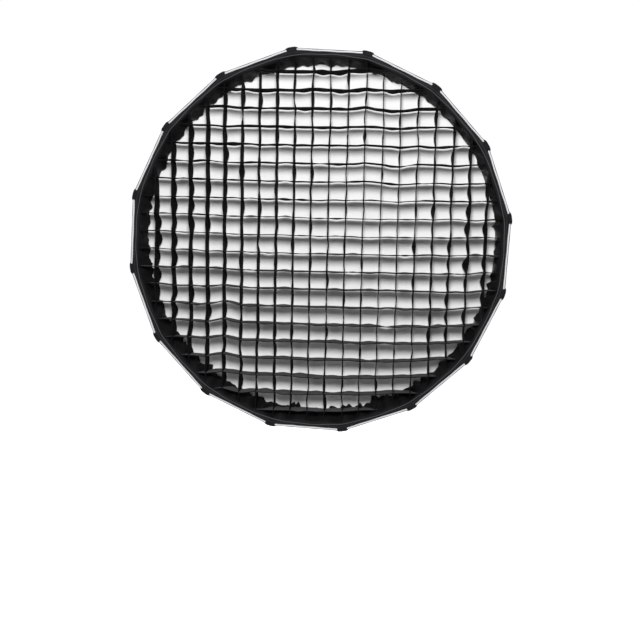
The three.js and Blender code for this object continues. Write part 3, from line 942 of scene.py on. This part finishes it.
def hub(mat):
    """The adapter, the turning ring and the small parts of the speedring."""
    adapter(mat)
    outline = [(60.3, 52.3), (68, 52.3), (68, 57), (60.3, 57)]
    ring = turned("retaining_ring_turned", outline, mat["steel"])
    stand_for(eased(ring, 0.4 * MM), "adapter", "retaining_ring")
    turning_ring(mat)
    hinge_wire(mat)
    outline = [(80.3, 36), (90.6, 36), (92, 37.2), (92, 44.8), (90.6, 46), (80.3, 46)]
    collar = turned("lock_ring_collar", outline, mat["anodised"], sides=384, ridges=48)
    stand_for(eased(collar, 0.3 * MM), "lock_ring", "lock_ring")
    knob(mat)


def hinge_wire(mat):
    """The sixteen-sided wire ring that the knuckles turn on."""
    around = RIBS * 6
    azimuth = np.arange(around) * 2 * math.pi / around
    line = polygon_radius(azimuth + HALF_STEP, HINGE[0] / math.cos(HALF_STEP))
    path = np.stack([line * np.sin(azimuth), np.full(around, -HINGE[1]), line * np.cos(azimuth)], -1)
    hoop = add_piece("hinge_wire_hoop", *ring_tube(path, 1.25 * MM, 10), [mat["steel"]])
    stand_for(hoop, "turning_ring", "hinge_wire")


def adapter(mat):
    """The plate and journal, and three lugs that turn behind a lamp's ring."""
    outline = [(48, 0), (62, 0), (62, -9), (67, -9), (67, 0), (80, 0), (80, 6), (60, 6), (60, 57), (48, 57)]
    body = turned("adapter_body", outline, mat["anodised"])
    stand_for(eased(body, 0.5 * MM), "adapter", "bayonet_adapter")
    low, high = np.array([(66.5, -9, -11), (72, -5, 11)]) * MM
    lugs = [block(low, high, math.pi + k * 2 * math.pi / 3) for k in range(3)]
    points, faces = joined(lugs)
    piece = eased(add_piece("adapter_lugs", points, faces, [mat["anodised"]], sharp=35), 0.5 * MM)
    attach(piece, "adapter")


def turning_ring(mat):
    """The slotted ring: its profile drops to the web in each of the sixteen slots."""
    full = [(60.3, 6.3), (80, 6.3), (80, 50), (96, 50), (96, 62), (84, 62), (84, 52), (60.3, 52)]
    full = np.array(full) * MM
    slot = full.copy()
    slot[4:6, 1] = 52.05 * MM
    wall = SLOT_HALF_ANGLE + 0.0004
    gap = STEP - 2 * SLOT_HALF_ANGLE
    columns = []
    for n in range(RIBS):
        middle = HALF_STEP + n * STEP
        columns.append((middle - wall, full))
        columns += [(middle + SLOT_HALF_ANGLE * t, slot) for t in (-1, -0.33, 0.33, 1)]
        columns.append((middle + wall, full))
        columns += [(middle + SLOT_HALF_ANGLE + gap * t, full) for t in (0.17, 0.33, 0.5, 0.67, 0.83)]
    points = np.stack([rib_point(p[::-1, 0], p[::-1, 1], 0, a) for a, p in columns], 1)
    faces = grid_faces(len(full) + 1, len(columns), wrap=True) % (len(full) * len(columns))
    ring = add_piece("speedring_body", points, faces, [mat["anodised"]], sharp=30)
    stand_for(ring, "turning_ring", "speedring")


def knob(mat):
    """The fluted thumb screw under the ring. Each corner: its radius, its drop, and if it is fluted."""
    sides = 96
    turn = np.arange(sides) * 2 * math.pi / sides
    flute = 1 - 0.07 * (0.5 + 0.5 * np.cos(12 * turn)) ** 2
    stem = [(0.1, 60.4, 0), (2.6, 60.4, 0), (3.0, 60.9, 0), (3.0, 85.6, 0)]
    head = [(6.4, 86.0, 0), (8.2, 87.0, 1), (8.5, 88.4, 1), (8.5, 101.2, 1), (8.0, 102.9, 1), (6.6, 103.7, 0)]
    end = [(4.8, 104.0, 0), (4.2, 103.4, 0), (0.1, 103.4, 0)]
    corners = stem + head + end
    rings = []
    for radius, drop, fluted in corners:
        r = radius * MM * (flute if fluted else np.ones(sides))
        rings.append(np.stack([r * np.cos(turn), KNOB_Y + r * np.sin(turn), np.full(sides, -drop * MM)], -1))
    faces = [face[::-1] for face in grid_faces(len(corners), sides, wrap=True).tolist()
             + end_caps(len(corners), sides)]
    piece = add_piece("lock_knob_screw", np.concatenate(rings), faces, [mat["plastic"]], sharp=40)
    stand_for(piece, "lock_knob", "lock_knob")


# ---------------------------------------------------------------- stage


def floor():
    """A white floor far below the box, which belongs to the stage."""
    made = material("floor", (1.0, 1.0, 1.0), 1.0, Specular_IOR_Level=0.0)
    place = coordinates(made.node_tree, "Object")
    add_bump(made, [(noise(made.node_tree, place, scale=3.0), 0.05, 1 * MM)])
    half, height = 60.0, -1.3
    points = [(-half, -half, height), (half, -half, height), (half, half, height), (-half, half, height)]
    add_piece("studio_floor", points, [[0, 1, 2, 3]], [made])


def main():
    camera()
    studio()
    floor()
    mat = make_materials()
    ribs(mat)
    gores(mat)
    seam_tapes(mat)
    pockets(mat)
    rear_collar(mat)
    diffuser(mat)
    grid(mat)
    hub(mat)


main()
